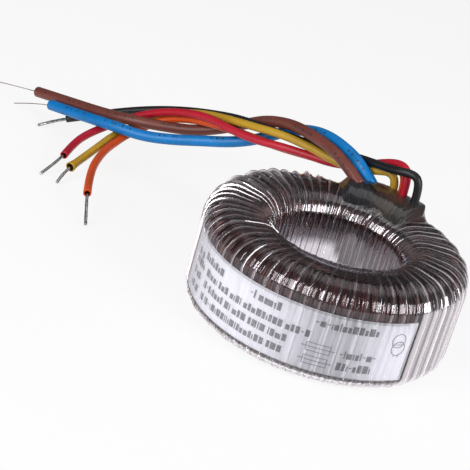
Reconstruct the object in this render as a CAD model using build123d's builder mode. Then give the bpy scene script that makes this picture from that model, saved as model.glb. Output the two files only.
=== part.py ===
"""Toroidal mains transformer with six flying leads, modelled layer by layer as it is wound.

The ring stands on z = 0 with its axis on Z. Every wound layer has the same kind of section, a
rectangle with bevelled corners, and each is the next outer one made smaller by its wall.
"""

import os
from math import cos, pi, radians, sin, sqrt, tan
from typing import NamedTuple

from build123d import *

# Finished ring, millimetres
WRAP_DIAMETER = 95.0
BORE_DIAMETER = 46.0
RING_HEIGHT = 38.0

# Polyester film, wound over the ring in overlapping laps
LAP_COUNT = 60
LAP_EDGE = 0.4  # a lap's free edge stands this far above the lap under it at the rim
LAP_EDGE_ON_FACE = 0.24
LAP_SKEW = 6.0  # laps run tangent to a circle of this radius, not straight at the axis
LAP_CORNER_STEPS = 4  # flats that the stretched film makes round each corner
RIM_ROUND_RADIAL = 9.5
RIM_ROUND_AXIAL = 8.5
FOOT_ROUND_RADIAL = 8.0
FOOT_ROUND_AXIAL = 6.5
BORE_ROUND_RADIAL = 9.0
BORE_ROUND_AXIAL = 8.0
BORE_ALLOWANCE = 0.3  # film that the true bore is cut out of
FILM_AT_BORE = 2.2  # the laps bunch up inside the bore
FILM_AT_RIM = 1.0
FILM_ON_FACE = 1.05

# Corners of the wound layers
WINDING_BEVEL_BORE = 5.0
WINDING_BEVEL_RIM = 6.2
WINDING_BEVEL_FOOT = 4.0
CORE_BEVEL_RIM = 3.4  # both rim corners of the taped core
CORNER_SQUEEZE = 0.7  # share of a layer's wall that is left where it is pulled over a corner
SMALLEST_BEVEL = 0.2

# Rating label, a strip under the film
LABEL_THICKNESS = 0.2  # with the air between it and the film
LABEL_AIR = 0.05
LABEL_HEIGHT = 22.3
LABEL_BOTTOM = 5.2
LABEL_START = 190.0  # degrees round the ring from +X
LABEL_SWEEP = 126.5

# Two secondaries wound together, each turn a flat pair of strands
TURNS_PER_SECONDARY = 41
STRAND_DIAMETER = 0.85
STRANDS_PER_TURN = 2
SEATING_GAP = 0.02  # between a flat strand and the round layers against it

# Layers under the secondaries
INTERLAYER = 0.3
PRIMARY_AT_BORE = 1.5
PRIMARY_AT_RIM = 0.9
PRIMARY_ON_FACE = 1.2
CORE_INSULATION = 0.5

# Film patch that holds the lead ends down on the back of the ring
PATCH_THICKNESS = 3.0
PATCH_INNER_RADIUS = 31.0
PATCH_RIM_DROP = 4.0
PATCH_START = 50.0
PATCH_SWEEP = 47.0
PATCH_ROUND_RIM = 2.6
PATCH_OVERLAP = 1.0  # depth that the patch blank goes below the ring's face before it is fitted

# Lead sleeves, and the wires in them
PRIMARY_SLEEVE = 4.3
PRIMARY_SLEEVE_BORE = 3.1
PRIMARY_WIRE = 0.4
PRIMARY_WIRE_SEAT = 6.0
SECONDARY_SLEEVE = 3.1
SECONDARY_SLEEVE_BORE = 2.1
TINNED_WIRE = 1.3
TINNED_WIRE_SEAT = 4.0
WIRE_STRAIGHT = 4.0  # a wire leaves its sleeve straight for this far
EXIT_CLEARANCE = 0.05
BEND_SHARE = 0.45  # share of the shorter run that a bend takes up

# Lead routes, from the patch to the cut end of the sleeve
BROWN_ROUTE = [
    (1.2, 37.6, 40), (-3.8, 41.5, 42.6), (-10.6, 47.4, 45.2), (-19, 55, 45.5), (-29.6, 64.4, 44.2),
    (-39.7, 74.5, 39), (-47.8, 80.8, 32.5), (-56.3, 82.9, 26.7), (-66.3, 82.6, 22.5),
    (-77.9, 83, 20.1), (-90.7, 83, 18.4), (-104.3, 88.2, 15.4), (-119.8, 98, 11.5),
    (-135.9, 109.2, 7),
]
BLUE_ROUTE = [
    (5.4, 41.6, 40), (0.1, 42.7, 44.9), (-6, 49.3, 46.5), (-15.7, 58.4, 46.7), (-24.6, 66.4, 43.2),
    (-32.8, 71.5, 37.3), (-41.4, 73.1, 30.7), (-50.9, 74, 25.9), (-62, 74.9, 22.4),
    (-73.5, 75.6, 18.7), (-85.4, 76.6, 15.9), (-98.5, 79.7, 15), (-112.5, 87.7, 11.8),
    (-127.3, 98.4, 7.7),
]
BLACK_ROUTE = [
    (21.7, 33.6, 40.6), (21.7, 33.6, 47.6), (19.2, 34.2, 51.7), (11, 36.8, 49.6),
    (0.5, 48.5, 45.6), (-8.8, 56.8, 42.2), (-18.3, 62, 39.9), (-28.8, 64.9, 38.8),
    (-39.5, 69.4, 37.5), (-50, 77.3, 35), (-61.2, 85.6, 30.5), (-73.6, 92.7, 25.4),
    (-86.8, 96.1, 20.1), (-99.7, 97.9, 14.1), (-109.9, 98, 8.9), (-119.5, 96.9, 4.6),
]
RED_ROUTE = [
    (17, 37.4, 40), (17, 37.4, 47.6), (15, 39.8, 51.3), (9.3, 46, 48.9), (-1.6, 53.2, 40.6),
    (-10.8, 55.5, 37.5), (-20.6, 57.7, 36.9), (-31.1, 60.3, 35.9), (-41, 64.2, 33.6),
    (-51.5, 69.5, 32.4), (-62.8, 76.7, 32), (-75, 83.3, 27.7), (-86.3, 88.4, 21.4),
    (-95, 89.7, 15.1), (-102.5, 86.1, 10.4), (-107.7, 78.7, 7.7), (-109.8, 69.6, 6.4),
    (-110.6, 60.2, 5),
]
YELLOW_ROUTE = [
    (13.2, 42.2, 40), (13.2, 42.2, 43.6), (10.3, 43.4, 46.2), (5, 45.9, 43.8), (-1.6, 48.9, 41),
    (-10.9, 52.4, 39.9), (-21.5, 57.4, 40.4), (-32.5, 62.4, 39.8), (-43.4, 67.7, 37.3),
    (-54.7, 76.8, 33.6), (-66.7, 85.1, 29.2), (-77.9, 90.7, 23.3), (-85.9, 91, 17.5),
    (-92.4, 87.1, 12.8), (-97.3, 80.1, 10.4), (-100, 69.6, 8.6), (-105.8, 52.6, 4.5),
]
ORANGE_ROUTE = [
    (16.5, 41, 40), (16.5, 41, 44.6), (14.6, 44, 47.9), (9.5, 50.7, 45), (-1.4, 56.6, 39),
    (-12.9, 59.5, 36.4), (-23.4, 61.5, 35.1), (-33.7, 64.8, 33.6), (-44.3, 69.7, 32.3),
    (-55.2, 75.4, 30.3), (-66.7, 81.9, 27.4), (-77.9, 87.4, 22.3), (-85.3, 87, 16.9),
    (-91.7, 82.6, 12.5), (-95.4, 75, 9.6), (-97.1, 64.2, 9.2), (-97.2, 47, 8), (-93.1, 27.6, 7.7),
]

# Bare wire tips
BROWN_TIP = (-155, 109.5, 5.6)
BLUE_TIP = (-141.5, 95.5, 4.6)
BLACK_TIP = (-129.1, 90.7, 0.7)
RED_TIP = (-115.3, 46.5, 0.7)
YELLOW_TIP = (-107.8, 43.3, 0.7)
ORANGE_TIP = (-89, 15.9, 0.7)


class Layer(NamedTuple):
    """Outer outline of a wound layer: bore and rim radii, half height and corner bevels.

    The rim's upper corner has a larger bevel than its foot.
    """

    bore: float
    rim: float
    half: float
    bevel_bore: float
    bevel_rim: float
    bevel_foot: float

    def inside(self, at_bore, at_rim, on_face):
        """Outline left inside walls of these thicknesses."""
        corner_bore = sqrt(2) * CORNER_SQUEEZE * min(at_bore, on_face)
        corner_rim = sqrt(2) * CORNER_SQUEEZE * min(at_rim, on_face)
        return Layer(
            self.bore + at_bore,
            self.rim - at_rim,
            self.half - on_face,
            max(SMALLEST_BEVEL, self.bevel_bore - at_bore - on_face + corner_bore),
            max(SMALLEST_BEVEL, self.bevel_rim - at_rim - on_face + corner_rim),
            max(SMALLEST_BEVEL, self.bevel_foot - at_rim - on_face + corner_rim),
        )


class Lead(NamedTuple):
    """One lead: its colour, sleeve, wire, how deep the wire sits in the sleeve, and its route."""

    colour: str
    sleeve: float
    sleeve_bore: float
    wire: float
    seat: float
    route: list
    tip: tuple


def layer_face(layer, mode=Mode.ADD):
    """Fill a layer's outline in the current sketch, whose X is the radius and Y the height."""
    mid = RING_HEIGHT / 2
    with BuildLine() as outline:
        Polyline(
            (layer.bore, mid - layer.half + layer.bevel_bore),
            (layer.bore + layer.bevel_bore, mid - layer.half),
            (layer.rim - layer.bevel_foot, mid - layer.half),
            (layer.rim, mid - layer.half + layer.bevel_foot),
            (layer.rim, mid + layer.half - layer.bevel_rim),
            (layer.rim - layer.bevel_rim, mid + layer.half),
            (layer.bore + layer.bevel_bore, mid + layer.half),
            (layer.bore, mid + layer.half - layer.bevel_bore),
            close=True,
        )
    make_face(outline.edges(), mode=mode)


def film_outline(raised, skew):
    """Corner points of the film's section on a plane that passes the axis at a distance of skew.

    raised runs from 0 where a lap lies flat to 1 at its free edge. The underside stays flat.
    """
    rim = WRAP_DIAMETER / 2 - LAP_EDGE * (1 - raised)
    top = RING_HEIGHT - LAP_EDGE_ON_FACE * (1 - raised)
    bore = BORE_DIAMETER / 2 - BORE_ALLOWANCE
    corners = [
        (rim - RIM_ROUND_RADIAL, top - RIM_ROUND_AXIAL, RIM_ROUND_RADIAL, RIM_ROUND_AXIAL),
        (bore + BORE_ROUND_RADIAL, top - BORE_ROUND_AXIAL, BORE_ROUND_RADIAL, BORE_ROUND_AXIAL),
        (bore + BORE_ROUND_RADIAL, BORE_ROUND_AXIAL, BORE_ROUND_RADIAL, BORE_ROUND_AXIAL),
        (rim - FOOT_ROUND_RADIAL, FOOT_ROUND_AXIAL, FOOT_ROUND_RADIAL, FOOT_ROUND_AXIAL),
    ]
    points = []
    for quarter, (centre_r, centre_z, radial, axial) in enumerate(corners):
        for step in range(LAP_CORNER_STEPS + 1):
            angle = (quarter + step / LAP_CORNER_STEPS) * pi / 2
            radius = centre_r + radial * cos(angle)
            points.append((sqrt(radius**2 - skew**2), centre_z + axial * sin(angle)))
    return points


def film_face(raised, skew, mode=Mode.ADD):
    """Fill the film's outline in the current sketch."""
    with BuildLine() as outline:
        Polyline(*film_outline(raised, skew), close=True)
    make_face(outline.edges(), mode=mode)


def radial_plane(azimuth, skew=0.0):
    """Upright plane with its X pointing outwards at this azimuth, beside the axis by skew."""
    turn = radians(azimuth)
    return Plane(
        origin=(-skew * sin(turn), skew * cos(turn), 0),
        x_dir=(cos(turn), sin(turn), 0),
        z_dir=(sin(turn), -cos(turn), 0),
    )


def bend_radii(route):
    """Radius of the bend at each inner point of a route, from its two runs and its turn."""
    points = [Vector(*point) for point in route]
    radii = []
    for before, corner, after in zip(points, points[1:], points[2:]):
        run_in = corner - before
        run_out = after - corner
        turn = radians(run_in.get_angle(run_out))
        radii.append(BEND_SHARE * min(run_in.length, run_out.length) / tan(turn / 2))
    return radii


def end_plane(route):
    """Plane across the cut end of a sleeve, facing out of it."""
    last = Vector(*route[-1])
    return Plane(origin=last, z_dir=last - Vector(*route[-2]))


def wire_route(lead):
    """Points of a bare wire, from its seat inside the sleeve to its tip."""
    mouth = end_plane(lead.route)
    seat = mouth.origin - mouth.z_dir * lead.seat
    free = mouth.origin + mouth.z_dir * WIRE_STRAIGHT
    return [seat, free, Vector(*lead.tip)]


def rod(route, diameter, mode=Mode.ADD):
    """Sweep a round section along a route in the current part and give the path's length."""
    with BuildLine() as path:
        FilletPolyline(*route, radius=bend_radii(route))
    with BuildSketch(Plane(origin=path.line @ 0, z_dir=path.line % 0)) as section:
        Circle(diameter / 2)
    sweep(sections=section.sketch, path=path.line, mode=mode)
    return path.wire().length


os.makedirs("parts", exist_ok=True)

# Outlines, from the film inwards
film_cavity = Layer(
    BORE_DIAMETER / 2 + FILM_AT_BORE,
    WRAP_DIAMETER / 2 - FILM_AT_RIM,
    RING_HEIGHT / 2 - FILM_ON_FACE,
    WINDING_BEVEL_BORE,
    WINDING_BEVEL_RIM,
    WINDING_BEVEL_FOOT,
)
secondary_outline = Layer(
    film_cavity.bore,
    film_cavity.rim - LABEL_THICKNESS - SEATING_GAP,
    film_cavity.half,
    film_cavity.bevel_bore,
    film_cavity.bevel_rim - LABEL_THICKNESS,
    film_cavity.bevel_foot - LABEL_THICKNESS,
)
interlayer_outline = secondary_outline.inside(STRAND_DIAMETER, STRAND_DIAMETER, STRAND_DIAMETER)
primary_outline = interlayer_outline.inside(INTERLAYER, INTERLAYER, INTERLAYER)
insulation_outline = primary_outline.inside(
    PRIMARY_AT_BORE, PRIMARY_AT_RIM, PRIMARY_ON_FACE
)._replace(bevel_rim=CORE_BEVEL_RIM, bevel_foot=CORE_BEVEL_RIM)
core_outline = insulation_outline.inside(CORE_INSULATION, CORE_INSULATION, CORE_INSULATION)

# Strip-wound core
with BuildPart() as core:
    with BuildSketch(Plane.XZ):
        layer_face(core_outline)
    revolve(axis=Axis.Z)
core.part.label = "core"
export_step(core.part, "parts/core.step")

# Closed layers round the core, each one seated on the layer inside it
closed_layers = [
    ("core_insulation", insulation_outline, core_outline),
    ("primary_winding", primary_outline, insulation_outline),
    ("interlayer_insulation", interlayer_outline, primary_outline),
]
for name, outside, inside in closed_layers:
    with BuildPart() as closed_layer:
        with BuildSketch(Plane.XZ):
            layer_face(outside)
            layer_face(inside, Mode.SUBTRACT)
        revolve(axis=Axis.Z)
    closed_layer.part.label = name
    export_step(closed_layer.part, f"parts/{name}.step")

# Upright part of a secondary turn: rim, underside and bore, open over the ring's top face
strand_seat = interlayer_outline.inside(-SEATING_GAP, -SEATING_GAP, 0)
turn_half_width = STRANDS_PER_TURN * STRAND_DIAMETER / 2
turn_pitch = 360 / TURNS_PER_SECONDARY
winding_top = RING_HEIGHT / 2 + secondary_outline.half
top_run_bore = secondary_outline.bore + secondary_outline.bevel_bore
top_run_rim = secondary_outline.rim - secondary_outline.bevel_rim
with BuildPart() as turn_loop:
    with BuildSketch(Plane.XZ):
        layer_face(secondary_outline)
        layer_face(strand_seat, Mode.SUBTRACT)
        with Locations(((top_run_bore + top_run_rim) / 2, winding_top)):
            Rectangle(top_run_rim - top_run_bore, RING_HEIGHT / 2, mode=Mode.SUBTRACT)
    extrude(amount=turn_half_width, both=True)

# Its run across the top face, which advances from one turn to the next
advance = radians(turn_pitch)
across = turn_half_width
with BuildPart() as turn_advance:
    with BuildSketch(Plane.XY.offset(winding_top)):
        with BuildLine():
            Polyline(
                (top_run_rim, -across),
                (top_run_rim, across),
                (
                    top_run_bore * cos(advance) - across * sin(advance),
                    top_run_bore * sin(advance) + across * cos(advance),
                ),
                (
                    top_run_bore * cos(advance) + across * sin(advance),
                    top_run_bore * sin(advance) - across * cos(advance),
                ),
                close=True,
            )
        make_face()
    extrude(amount=-STRAND_DIAMETER)

# Secondaries A and B lie side by side; each starts and finishes under the lead exit patch
winding_start = PATCH_START + PATCH_SWEEP / 2
for place, name in enumerate(["secondary_winding_a", "secondary_winding_b"]):
    first_turn = winding_start + place * turn_pitch / 2
    with BuildPart() as winding:
        with PolarLocations(0, TURNS_PER_SECONDARY, start_angle=first_turn):
            add(turn_loop.part)
        with PolarLocations(
            0,
            TURNS_PER_SECONDARY - 1,
            start_angle=first_turn,
            angular_range=360 - turn_pitch,
        ):
            add(turn_advance.part)
    winding.part.label = name
    export_step(winding.part, f"parts/{name}.step")

# Rating label, wrapped round the secondaries' rim
with BuildPart() as rating_label:
    with BuildSketch(radial_plane(LABEL_START)):
        with Locations((film_cavity.rim - LABEL_AIR, LABEL_BOTTOM)):
            Rectangle(LABEL_THICKNESS - LABEL_AIR, LABEL_HEIGHT, align=(Align.MAX, Align.MIN))
    revolve(axis=Axis.Z, revolution_arc=LABEL_SWEEP)
rating_label.part.label = "rating_label"
export_step(rating_label.part, "parts/rating_label.step")

# One lap of film, a wedge that rises to its free edge
lap_pitch = 360 / LAP_COUNT
with BuildPart() as lap:
    with BuildSketch(radial_plane(0, LAP_SKEW)):
        film_face(0, LAP_SKEW)
    with BuildSketch(radial_plane(lap_pitch, LAP_SKEW)):
        film_face(1, LAP_SKEW)
    loft(ruled=True)

# Outer wrap: all laps, the true bore, and the space that the windings fill
with BuildPart() as outer_wrap:
    with PolarLocations(0, LAP_COUNT):
        add(lap.part)
    with Locations((0, 0, RING_HEIGHT / 2)):
        Cylinder(BORE_DIAMETER / 2, RING_HEIGHT, mode=Mode.SUBTRACT)
    with BuildSketch(Plane.XZ):
        layer_face(film_cavity)
    revolve(axis=Axis.Z, mode=Mode.SUBTRACT)
outer_wrap.part.label = "outer_wrap"
export_step(outer_wrap.part, "parts/outer_wrap.step")

# The six leads
leads = [
    Lead("brown", PRIMARY_SLEEVE, PRIMARY_SLEEVE_BORE, PRIMARY_WIRE, PRIMARY_WIRE_SEAT,
         BROWN_ROUTE, BROWN_TIP),
    Lead("blue", PRIMARY_SLEEVE, PRIMARY_SLEEVE_BORE, PRIMARY_WIRE, PRIMARY_WIRE_SEAT,
         BLUE_ROUTE, BLUE_TIP),
    Lead("black", SECONDARY_SLEEVE, SECONDARY_SLEEVE_BORE, TINNED_WIRE, TINNED_WIRE_SEAT,
         BLACK_ROUTE, BLACK_TIP),
    Lead("red", SECONDARY_SLEEVE, SECONDARY_SLEEVE_BORE, TINNED_WIRE, TINNED_WIRE_SEAT,
         RED_ROUTE, RED_TIP),
    Lead("yellow", SECONDARY_SLEEVE, SECONDARY_SLEEVE_BORE, TINNED_WIRE, TINNED_WIRE_SEAT,
         YELLOW_ROUTE, YELLOW_TIP),
    Lead("orange", SECONDARY_SLEEVE, SECONDARY_SLEEVE_BORE, TINNED_WIRE, TINNED_WIRE_SEAT,
         ORANGE_ROUTE, ORANGE_TIP),
]

# Patch over the lead exit, fitted over the laps and pierced where each lead comes out
with BuildPart() as lead_exit_patch:
    patch_top = RING_HEIGHT + PATCH_THICKNESS
    patch_rim = WRAP_DIAMETER / 2
    with BuildSketch(radial_plane(PATCH_START)):
        with BuildLine():
            Polyline(
                (PATCH_INNER_RADIUS, RING_HEIGHT - PATCH_OVERLAP),
                (patch_rim - RIM_ROUND_RADIAL, RING_HEIGHT - PATCH_RIM_DROP),
                (patch_rim, RING_HEIGHT - PATCH_RIM_DROP),
                (patch_rim, patch_top),
                (PATCH_INNER_RADIUS, patch_top),
                close=True,
            )
        patch_blank = make_face()
        fillet(patch_blank.vertices().sort_by(Axis.Y)[-2:].sort_by(Axis.X)[-1], PATCH_ROUND_RIM)
        film_face(1, 0, Mode.SUBTRACT)
    revolve(axis=Axis.Z, revolution_arc=PATCH_SWEEP)
    for lead in leads:
        rod(lead.route[:3], lead.sleeve + 2 * EXIT_CLEARANCE, Mode.SUBTRACT)
lead_exit_patch.part.label = "lead_exit_patch"
export_step(lead_exit_patch.part, "parts/lead_exit_patch.step")

# Sleeves, each with a mouth bored down to the seat of its wire, and the wires
for lead in leads:
    with BuildPart() as sleeve:
        sleeve_length = rod(lead.route, lead.sleeve)
        with Locations(end_plane(lead.route)):
            Cylinder(
                lead.sleeve_bore / 2,
                lead.seat,
                align=(Align.CENTER, Align.CENTER, Align.MAX),
                mode=Mode.SUBTRACT,
            )
    sleeve.part.label = f"{lead.colour}_sleeve"
    export_step(sleeve.part, f"parts/{lead.colour}_sleeve.step")

    with BuildPart() as wire:
        wire_length = rod(wire_route(lead), lead.wire)
    wire.part.label = f"{lead.colour}_wire_end"
    export_step(wire.part, f"parts/{lead.colour}_wire_end.step")

    mouth_volume = pi * (lead.sleeve_bore / 2) ** 2 * lead.seat
    swept_volume = pi * (lead.sleeve / 2) ** 2 * sleeve_length
    volume_ratio = (sleeve.part.volume + mouth_volume) / swept_volume
    radii = ", ".join(f"{radius:.0f}" for radius in bend_radii(lead.route))
    print(f"{lead.colour}: sleeve {sleeve_length:.1f} mm, wire {wire_length:.1f} mm, "
          f"volume ratio {volume_ratio:.4f}, bend radii {radii}")
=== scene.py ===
"""Toroidal mains transformer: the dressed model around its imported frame.

The ring stands on z = 0 with its axis on Z, in metres. A wound layer's section is followed by a
path that runs once round it, and the ring's surfaces are that path carried round the axis.
"""

from __future__ import annotations

import logging
import math
from dataclasses import dataclass, field, replace
from enum import Enum
from typing import Any

import bpy
import numpy as np
from mathutils import Matrix, Vector

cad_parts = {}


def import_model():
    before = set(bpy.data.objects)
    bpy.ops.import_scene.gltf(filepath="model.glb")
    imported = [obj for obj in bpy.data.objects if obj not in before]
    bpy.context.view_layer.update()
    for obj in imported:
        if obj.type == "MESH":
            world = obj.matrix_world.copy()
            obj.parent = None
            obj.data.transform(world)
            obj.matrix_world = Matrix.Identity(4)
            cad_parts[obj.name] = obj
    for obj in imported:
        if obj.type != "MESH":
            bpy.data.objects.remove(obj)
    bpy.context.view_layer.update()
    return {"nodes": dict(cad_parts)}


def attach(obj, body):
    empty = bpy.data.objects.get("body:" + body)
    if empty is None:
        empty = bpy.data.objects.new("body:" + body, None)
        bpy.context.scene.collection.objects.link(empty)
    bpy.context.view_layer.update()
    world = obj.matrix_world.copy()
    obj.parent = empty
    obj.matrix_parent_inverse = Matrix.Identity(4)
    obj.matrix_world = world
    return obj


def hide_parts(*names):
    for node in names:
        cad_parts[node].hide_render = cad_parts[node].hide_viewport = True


log = logging.getLogger("toroid")
MM = 0.001
TURN = 2 * math.pi
BODY = "root"
PATCH_START = 50.0  # degrees round the ring from +X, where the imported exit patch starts
PATCH_SWEEP = 47.0
Colour = tuple[float, float, float, float]
Place = tuple[float, float, float]


# ---------------------------------------------------------------- formulas


def stacked(*parts: np.ndarray) -> np.ndarray:
    """Arrays spread to one shape and stacked along a new last axis."""
    return np.stack(np.broadcast_arrays(*parts), axis=-1)


def polar(radius: np.ndarray, turn: np.ndarray, level: np.ndarray) -> np.ndarray:
    """Points at a radius, an azimuth in radians and a height."""
    return stacked(radius * np.cos(turn), radius * np.sin(turn), level)


def unit(v: np.ndarray) -> np.ndarray:
    """Vectors scaled to length one."""
    return v / np.maximum(np.linalg.norm(v, axis=-1, keepdims=True), 1e-12)


def rise(x: np.ndarray, start: float, span: float) -> np.ndarray:
    """A straight rise from 0 at the start to 1 a span further on, level beyond both ends."""
    return np.clip((x - start) / span, 0, 1)


def bell(x: np.ndarray, centre: float, width: float) -> np.ndarray:
    """A bell of height 1: e to the minus square of the distance from its centre in widths."""
    return np.exp(-(((x - centre) / width) ** 2))


def away(turn: np.ndarray, bearing: float) -> np.ndarray:
    """Degrees from a bearing to an azimuth, from -180 to 180."""
    return (np.degrees(turn) - bearing + 180) % 360 - 180


def distance_along(line: np.ndarray) -> np.ndarray:
    """Distance from a line's start to each of its points."""
    return np.r_[0, np.cumsum(np.linalg.norm(np.diff(line, axis=0), axis=1))]


def read_off(where: np.ndarray, stations: np.ndarray, values: np.ndarray) -> np.ndarray:
    """Each column of values, read off between its stations."""
    return np.stack([np.interp(where, stations, column) for column in values.T], -1)


def smooth_noise(x: np.ndarray, seed: int, octaves: int = 3) -> np.ndarray:
    """A sum of sine waves with seeded rates and phases.

    Args:
        x: where it is read, roughly in periods of its slowest waves.
        seed: sets the rates and phases.
        octaves: each has three waves, twice as fast and half as high as those before.

    Returns:
        Values from about -1 to 1.
    """
    rng = np.random.default_rng(seed)
    total = np.zeros_like(x, float)
    for octave in range(octaves):
        for _ in range(3):
            rate = 2**octave * rng.uniform(0.7, 1.6)
            total += np.sin(TURN * (x * rate + rng.uniform())) / 2**octave
    return total / 3.5


def patches(x: np.ndarray, seed: int, octaves: int) -> np.ndarray:
    """Smooth noise from about 0 to 1."""
    return 0.5 + 0.5 * smooth_noise(x, seed, octaves)


# ---------------------------------------------------------------- meshes


def grid_faces(rows: int, columns: int, wrap_rows: bool, wrap_columns: bool) -> np.ndarray:
    """Quads of a grid whose points are numbered row by row.

    Args:
        rows: number of rows of points.
        columns: number of points in a row.
        wrap_rows: whether the last row joins the first.
        wrap_columns: whether a row's last point joins its first.

    Returns:
        Four point numbers a quad.
    """
    r = np.arange(rows if wrap_rows else rows - 1)[:, None]
    c = np.arange(columns if wrap_columns else columns - 1)[None, :]
    r2, c2 = (r + 1) % rows, (c + 1) % columns
    quads = stacked(r * columns + c, r * columns + c2, r2 * columns + c2, r2 * columns + c)
    return quads.reshape(-1, 4)


def join_parts(parts: list[tuple[np.ndarray, np.ndarray]]) -> tuple[np.ndarray, np.ndarray]:
    """Stack several sets of points and quads into one.

    Args:
        parts: points and quads of each set.

    Returns:
        All points, and all quads with their point numbers moved on.
    """
    counts = np.cumsum([0] + [len(p.reshape(-1, 3)) for p, _ in parts])
    points = np.concatenate([p.reshape(-1, 3) for p, _ in parts])
    return points, np.concatenate([f + n for (_, f), n in zip(parts, counts)])


def make_piece(
    name: str,
    points: np.ndarray,
    faces: np.ndarray,
    material: bpy.types.Material,
    smooth: bool = True,
    uv: np.ndarray | None = None,
    **shares: np.ndarray,
) -> bpy.types.Object:
    """Put points and quads into a mesh object with one material.

    Args:
        name: the piece's name.
        points: one row of x, y and z for each point, in metres.
        faces: point numbers of each quad.
        material: its finish.
        smooth: whether it is shaded smooth.
        uv: u and v for each point.
        **shares: values for each point, by the name that the finish reads.

    Returns:
        The new object, linked to the scene.
    """
    mesh = bpy.data.meshes.new(name)
    mesh.from_pydata(points.reshape(-1, 3).tolist(), [], faces.tolist())
    mesh.update()
    for key, values in shares.items():
        layer = mesh.attributes.new(key, "FLOAT", "POINT")
        layer.data.foreach_set("value", np.ascontiguousarray(values, np.float32).ravel())
    if uv is not None:
        corner = np.zeros(len(mesh.loops), np.int32)
        mesh.loops.foreach_get("vertex_index", corner)
        layer = mesh.uv_layers.new(name="UVMap")
        layer.data.foreach_set("uv", uv.reshape(-1, 2)[corner].astype(np.float32).ravel())
    mesh.polygons.foreach_set("use_smooth", np.full(len(mesh.polygons), smooth))
    mesh.materials.append(material)
    piece = bpy.data.objects.new(name, mesh)
    bpy.context.scene.collection.objects.link(piece)
    return piece


# ---------------------------------------------------------------- finishes


@dataclass
class Finish:
    """A material with one Principled surface, and short ways to add and join its nodes."""

    name: str

    def __post_init__(self) -> None:
        """Make the material and dress it."""
        self.material = bpy.data.materials.new(self.name)
        self.material.use_nodes = True
        self.tree = self.material.node_tree
        self.surface = self.tree.nodes["Principled BSDF"]
        self.dress()

    def dress(self) -> None:
        """Set up the surface, in each finish's own way."""
        raise NotImplementedError

    def put(self, target: bpy.types.NodeSocket, value: Any) -> None:
        """Join a socket to another one, or give it a plain value.

        Args:
            target: the input socket.
            value: the output socket to join it to, or the value.
        """
        if isinstance(value, bpy.types.NodeSocket):
            self.tree.links.new(value, target)
        else:
            target.default_value = value

    def add(self, kind: str, inputs: dict[Any, Any] | None = None, **settings: Any) -> Any:
        """Add a node.

        Args:
            kind: the node's type without its ShaderNode prefix.
            inputs: sockets or values by input name or number.
            **settings: the node's own properties.

        Returns:
            The node's output sockets.
        """
        node = self.tree.nodes.new("ShaderNode" + kind)
        for key, value in settings.items():
            setattr(node, key, value)
        for key, value in (inputs or {}).items():
            self.put(node.inputs[key], value)
        return node.outputs

    def math(self, operation: str, a: Any, b: Any = 0.0, clamp: bool = False) -> Any:
        """The result socket of a Math node."""
        return self.add("Math", {0: a, 1: b}, operation=operation, use_clamp=clamp)[0]

    def mix(self, factor: Any, a: Any, b: Any) -> Any:
        """The result socket of a colour mix from a to b."""
        return self.add("Mix", {0: factor, 6: a, 7: b}, data_type="RGBA")[2]

    def ramp(self, factor: Any, low: float, high: float) -> Any:
        """A value that rises from 0 to 1 as the factor goes from low to high."""
        return self.add("MapRange", {0: factor, 1: low, 2: high, 3: 0.0, 4: 1.0})[0]

    def noise(self, vector: Any, scale: float, detail: float = 2.0, rough: float = 0.5) -> Any:
        """The value socket of a noise over a vector."""
        sockets = {"Vector": vector, "Scale": scale, "Detail": detail, "Roughness": rough}
        return self.add("TexNoise", sockets)["Fac"]

    def coordinates(self, which: str = "Object", scale: Place = (1, 1, 1)) -> Any:
        """Texture coordinates, stretched by a scale along each axis."""
        return self.add("Mapping", {"Vector": self.add("TexCoord")[which], "Scale": scale})[0]

    def azimuth(self) -> Any:
        """The angle round the ring's axis."""
        x, y, _ = self.add("SeparateXYZ", {0: self.coordinates()})
        return self.math("ARCTAN2", y, x)

    def two_tone(self, factor: Any, low: float, high: float, first: Any, last: Any) -> None:
        """Colour the surface from first to last as the factor goes from low to high."""
        self.set(Base_Color=self.mix(self.ramp(factor, low, high), first, last))

    def attribute(self, name: str) -> Any:
        """A value stored at the mesh's points."""
        return self.add("Attribute", attribute_name=name)["Fac"]

    def bump(self, height: Any, strength: float, distance: float) -> None:
        """Raise the surface by a height times the distance in metres."""
        sockets = {"Height": height, "Strength": strength, "Distance": distance}
        self.put(self.surface.inputs["Normal"], self.add("Bump", sockets)[0])

    def set(self, **inputs: Any) -> None:
        """Set or join inputs of the Principled surface, named with underscores."""
        for key, value in inputs.items():
            self.put(self.surface.inputs[key.replace("_", " ")], value)


@dataclass
class FilmFinish(Finish):
    """Clear glossy film: it mirrors more where its layers pile up and at a glancing view."""

    name: str = "wrap_film"
    tint: Colour = (0.93, 0.885, 0.935, 1.0)
    edge_tint: Colour = (0.86, 0.76, 0.79, 1.0)
    roughness: float = 0.07
    ior: float = 1.40

    def dress(self) -> None:
        """Mirror-like surface whose opacity is its reflectance, with fine drawn streaks, turning
        pale and diffuse where the milky share is high.
        """
        layers, milky_and_sheen = self.attribute("layers"), self.attribute("milky_and_sheen")
        glancing = self.add("Fresnel", {"IOR": self.ior})[0]
        clear = self.math("SUBTRACT", 1.0, layers)
        mirrored = self.math("ADD", layers, self.math("MULTIPLY", clear, glancing), clamp=True)
        opacity = self.math("ADD", mirrored, milky_and_sheen, clamp=True)
        metal = self.math("SUBTRACT", 1.0, self.math("MULTIPLY", milky_and_sheen, 0.8), clamp=True)
        streaks = self.noise(self.coordinates("UV", (900, 5, 1)), 1.0, 3.0)
        crinkle = self.noise(self.coordinates(), 420.0)
        height = self.math("ADD", streaks, self.math("MULTIPLY", crinkle, 0.4))
        self.bump(height, 0.15, 0.12 * MM)
        # Pale milky colour at the lap edges, partly painted highlights, and painted sheen on some
        # laps.
        colour = self.mix(milky_and_sheen, self.tint, self.edge_tint)
        self.set(Base_Color=colour, Metallic=metal, Roughness=self.roughness, Alpha=opacity)


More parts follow.
